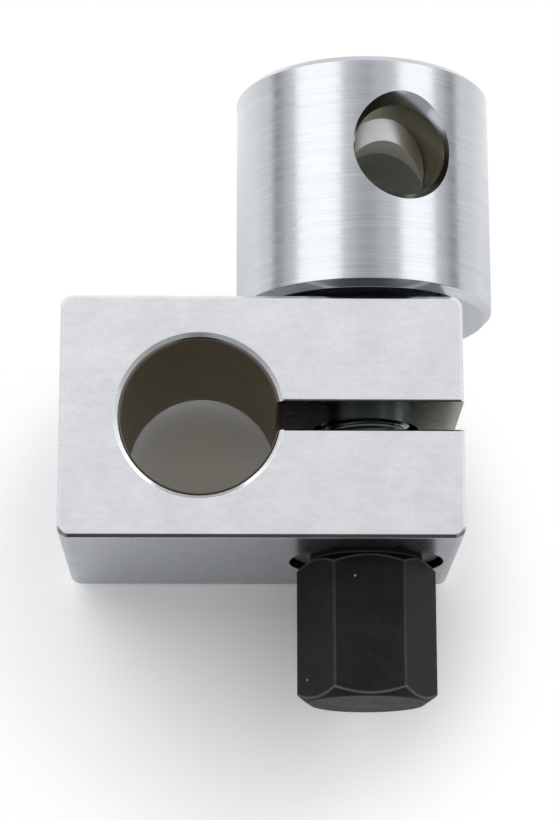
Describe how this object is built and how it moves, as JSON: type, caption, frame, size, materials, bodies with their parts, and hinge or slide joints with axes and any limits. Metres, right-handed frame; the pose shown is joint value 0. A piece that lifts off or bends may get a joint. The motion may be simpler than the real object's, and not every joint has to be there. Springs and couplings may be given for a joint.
{
  "type": "swivel clamp holder",
  "caption": "Swivel clamp holder: a split block grips a round column, and a sleeve with an eye bolt and a black hexagon nut grips a cross rod.",
  "frame": {"origin": "on the column bore's axis, halfway through the split block", "axes": "+X from the column bore to the stud axis, +Y along the stud axis from the nut to the sleeve, +Z along the column bore, out of the face with the slot in view"},
  "size_m": [0.0573, 0.084, 0.0344],
  "materials": {
    "zinc_plated_steel": "satin",
    "bright_turned_steel": "polished",
    "blue_zinc_steel": "polished",
    "black_oxide_steel": "satin"
  },
  "bodies": {
    "block": {"clamp_block": "zinc_plated_steel"},
    "sleeve": {"rod_sleeve": "bright_turned_steel"},
    "eye_bolt": {"eye_bolt": "blue_zinc_steel"},
    "washer": {"thrust_washer": "blue_zinc_steel"},
    "nut": {"hex_nut": "black_oxide_steel"}
  },
  "joints": [
    {"name": "sleeve_swivel", "type": "hinge", "parent": "block", "child": "sleeve", "pos_m": [0.022, 0, 0], "axis": [0, 1, 0], "continuous": true},
    {"name": "eye_slide", "type": "slide", "parent": "sleeve", "child": "eye_bolt", "axis": [0, 1, 0], "range_m": [-0.0004, 0.0043]},
    {"name": "nut_travel", "type": "slide", "parent": "eye_bolt", "child": "washer", "axis": [0, -1, 0], "range_m": [-0.0005, 0.005]},
    {"name": "nut_turn", "type": "hinge", "parent": "washer", "child": "nut", "pos_m": [0.022, 0, 0], "axis": [0, -1, 0], "range_deg": [-180.5, 1800.5]}
  ],
  "couplings": [
    {"joint": "nut_turn", "follows": "nut_travel", "rad_per_m": 6283.2}
  ]
}
